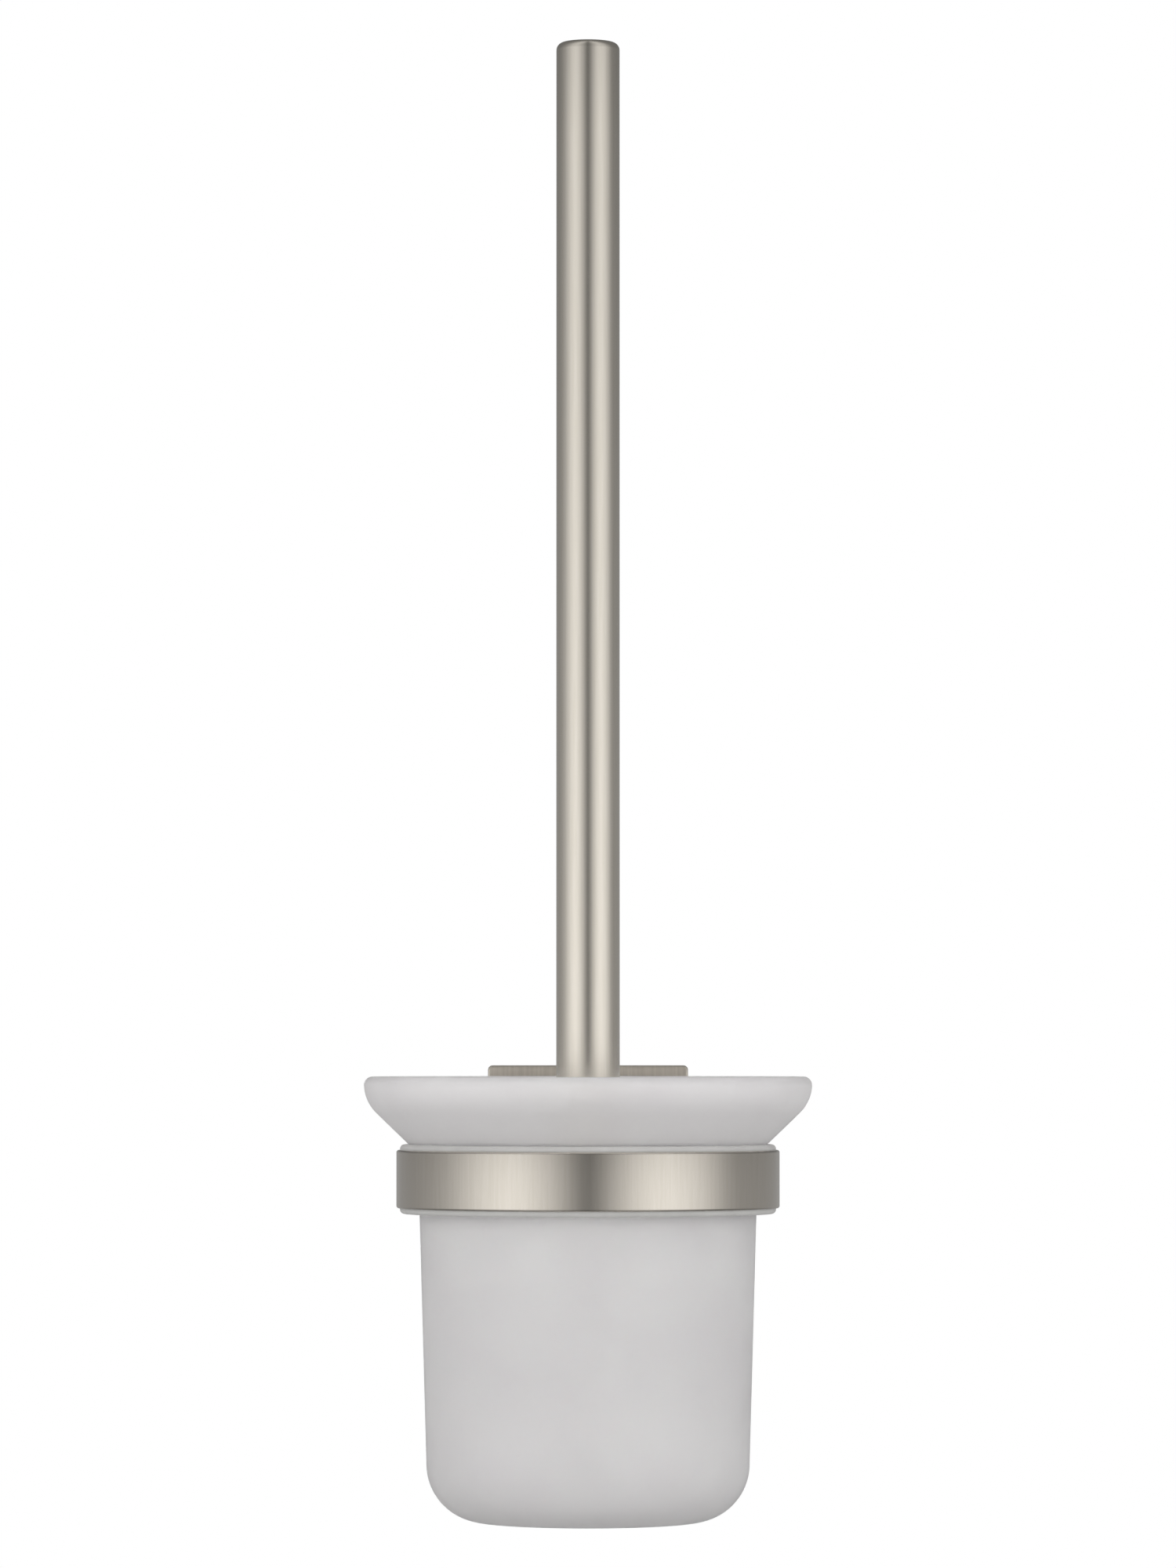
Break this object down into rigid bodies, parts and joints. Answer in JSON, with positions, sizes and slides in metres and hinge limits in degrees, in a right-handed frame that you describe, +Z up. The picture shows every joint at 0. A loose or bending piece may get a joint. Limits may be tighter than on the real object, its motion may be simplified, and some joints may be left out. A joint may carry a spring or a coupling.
{
  "type": "toilet brush holder",
  "caption": "Wall-mounted toilet brush set: frosted glass cup with a flared rim in a brushed-nickel ring, with a long tubular-handled brush standing in it.",
  "frame": {"origin": "midway between the two wall-screw holes, on the wall plane", "axes": "+X to the right along the wall, +Y into the wall, +Z up along the brush handle"},
  "size_m": [0.1128, 0.1244, 0.3732],
  "materials": {
    "zinc_plated_steel": "zinc plated, matt",
    "brushed_nickel_rose": "brushed, vertical grain",
    "brushed_nickel_arm": "brushed, grain round the post",
    "steel_fasteners": "plain",
    "brushed_nickel_ring": "brushed, grain round the ring",
    "sleeve_plastic": "translucent off-white, matt",
    "frosted_glass": "frosted all over",
    "hub_plastic": "moulded, white",
    "nylon_bristles": "nylon filaments",
    "washer_rubber": "matt",
    "brushed_nickel_tube": "brushed, fine",
    "bush_brass": "turned",
    "steel_stud": "thread, plain"
  },
  "bodies": {
    "holder": {"wall_bracket": "zinc_plated_steel", "wall_rose": "brushed_nickel_rose", "rose_grub_screw": "steel_fasteners", "arm": "brushed_nickel_arm", "arm_screw": "steel_fasteners", "arm_pin": "steel_fasteners", "holder_ring": "brushed_nickel_ring", "ring_sleeve": "sleeve_plastic"},
    "cup": {"glass_cup": "frosted_glass"},
    "brush_head": {"brush_hub": "hub_plastic", "side_bristles": "nylon_bristles", "tip_bristles": "nylon_bristles"},
    "seal": {"seal_washer": "washer_rubber"},
    "handle": {"handle_tube": "brushed_nickel_tube", "handle_bush": "bush_brass", "threaded_stud": "steel_stud"}
  },
  "joints": [
    {"name": "cup_lift", "type": "slide", "parent": "holder", "child": "cup", "axis": [0, 0, 1], "range_m": [0, 0.1]},
    {"name": "brush_lift", "type": "slide", "parent": "cup", "child": "brush_head", "axis": [0, 0, 1], "range_m": [0, 0.13]},
    {"name": "washer_rise", "type": "slide", "parent": "brush_head", "child": "seal", "axis": [0, 0, 1], "range_m": [0, 0.012]},
    {"name": "handle_unscrew", "type": "hinge", "parent": "seal", "child": "handle", "pos_m": [0, -0.068, 0], "axis": [0, 0, 1], "range_deg": [0, 2880]}
  ],
  "couplings": [
    {"joint": "washer_rise", "follows": "handle_unscrew", "m_per_rad": 0.00023873}
  ]
}
